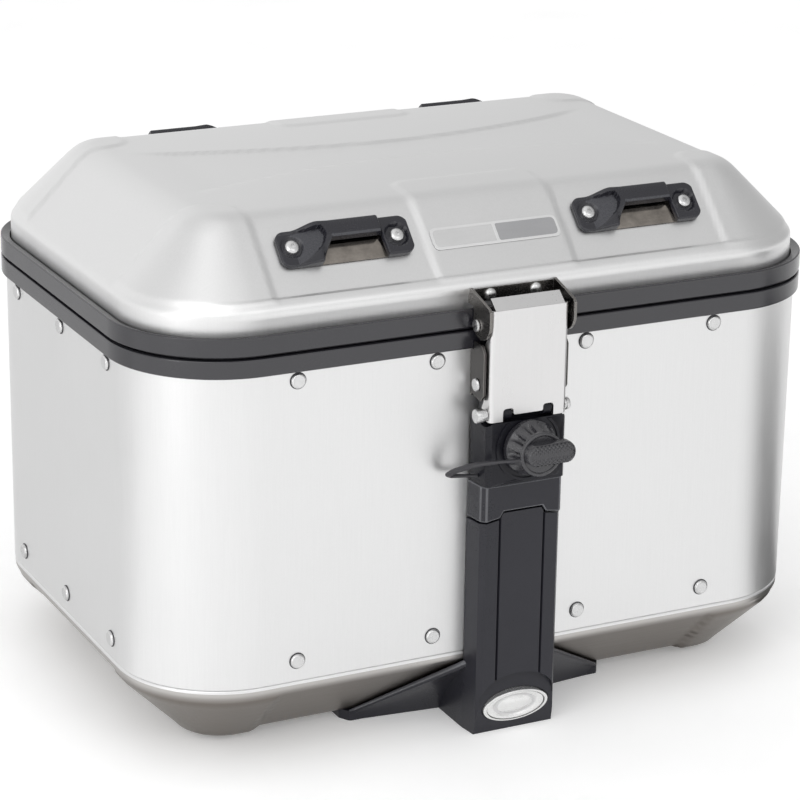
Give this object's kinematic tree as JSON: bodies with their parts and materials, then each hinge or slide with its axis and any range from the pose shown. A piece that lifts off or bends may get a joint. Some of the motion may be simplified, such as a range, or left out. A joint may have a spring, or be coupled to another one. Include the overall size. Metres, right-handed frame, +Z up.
{
  "type": "motorcycle top case",
  "caption": "Aluminium motorcycle top case with a hinged lid, black rims, strap loops, a keyed draw latch and a quick-release foot.",
  "frame": {"origin": "centre of the case's footprint, on the underside of the base tray", "axes": "+Z up, -Y towards the latch, +X along the width to the viewer's right as seen from the latch"},
  "size_m": [0.4434, 0.3591, 0.3178],
  "materials": {
    "satin_aluminium": "fine vertical satin brushing",
    "pan_aluminium": "satin, plain",
    "rim_plastic": "satin black moulding",
    "black_plastic": "fine grained, blue-black",
    "black_rubber": "matt",
    "bracket_steel": "satin",
    "stainless_steel": "polished",
    "button_silver": "silver satin"
  },
  "bodies": {
    "case": {"body_shell": "satin_aluminium", "bottom_pan": "pan_aluminium", "body_rim": "rim_plastic", "upper_rivet_rail": "satin_aluminium", "lower_rivet_rail": "satin_aluminium", "mount_tray": "black_plastic", "tray_screw_1": "stainless_steel", "tray_screw_2": "stainless_steel", "tray_screw_3": "stainless_steel", "tray_screw_4": "stainless_steel", "lock_column": "black_plastic", "column_collar": "black_plastic", "latch_base": "bracket_steel", "base_rivet_1": "stainless_steel", "base_rivet_2": "stainless_steel", "handle_pin": "stainless_steel", "hinge_body_leaf_1": "stainless_steel", "hinge_body_leaf_2": "stainless_steel", "hinge_pin_1": "stainless_steel", "hinge_pin_2": "stainless_steel", "hinge_rivet_1": "stainless_steel", "hinge_rivet_2": "stainless_steel", "hinge_rivet_3": "stainless_steel", "hinge_rivet_4": "stainless_steel", "button_spring": "stainless_steel"},
    "lid": {"lid_shell": "satin_aluminium", "lid_rim": "rim_plastic", "lid_gasket": "black_rubber", "lid_bracket": "bracket_steel", "bracket_rivet_1": "stainless_steel", "bracket_rivet_2": "stainless_steel", "keeper_stud_1": "stainless_steel", "keeper_stud_2": "stainless_steel", "hinge_lid_leaf_1": "stainless_steel", "hinge_lid_leaf_2": "stainless_steel", "badge_plate": "satin_aluminium", "strap_loop_1": "black_plastic", "strap_loop_2": "black_plastic", "strap_loop_3": "black_plastic", "strap_loop_4": "black_plastic", "loop_screw_1": "stainless_steel", "loop_screw_2": "stainless_steel", "loop_screw_3": "stainless_steel", "loop_screw_4": "stainless_steel", "loop_screw_5": "stainless_steel", "loop_screw_6": "stainless_steel", "loop_screw_7": "stainless_steel", "loop_screw_8": "stainless_steel"},
    "latch_handle": {"latch_handle": "black_plastic", "link_pin": "stainless_steel", "cap_tether": "black_rubber"},
    "latch_plate": {"latch_plate": "stainless_steel"},
    "key_cylinder": {"key_cylinder": "stainless_steel"},
    "lock_bolt": {"lock_bolt": "stainless_steel"},
    "key_cap": {"key_cap": "black_rubber"},
    "release": {"release_button": "button_silver", "mount_hook": "stainless_steel"}
  },
  "joints": [
    {"name": "lid_hinge", "type": "hinge", "parent": "case", "child": "lid", "pos_m": [0, 0.1568, 0.2472], "axis": [-1, 0, 0], "range_deg": [0, 95]},
    {"name": "handle_pivot", "type": "hinge", "parent": "case", "child": "latch_handle", "pos_m": [0, -0.1563, 0.2158], "axis": [-1, 0, 0], "range_deg": [0, 75]},
    {"name": "link_pivot", "type": "hinge", "parent": "latch_handle", "child": "latch_plate", "pos_m": [0, -0.1633, 0.1996], "axis": [1, 0, 0], "range_deg": [0, 75]},
    {"name": "key_turn", "type": "hinge", "parent": "latch_handle", "child": "key_cylinder", "pos_m": [0, -0.1688, 0.1795], "axis": [0, -1, 0], "range_deg": [0, 90]},
    {"name": "bolt_slide", "type": "slide", "parent": "latch_handle", "child": "lock_bolt", "axis": [0, 0, -1], "range_m": [0, 0.005]},
    {"name": "cap_pull", "type": "slide", "parent": "latch_handle", "child": "key_cap", "axis": [0, -1, 0], "range_m": [0, 0.012], "deforming": ["cap_tether"]},
    {"name": "button_press", "type": "slide", "parent": "case", "child": "release", "axis": [0, 0.9855, 0.1697], "range_m": [0, 0.004], "stiffness_N_per_m": 400, "deforming": ["button_spring"]}
  ],
  "couplings": [
    {"joint": "link_pivot", "follows": "handle_pivot", "ratio": 1},
    {"joint": "bolt_slide", "follows": "key_turn", "m_per_rad": 0.0031831}
  ]
}
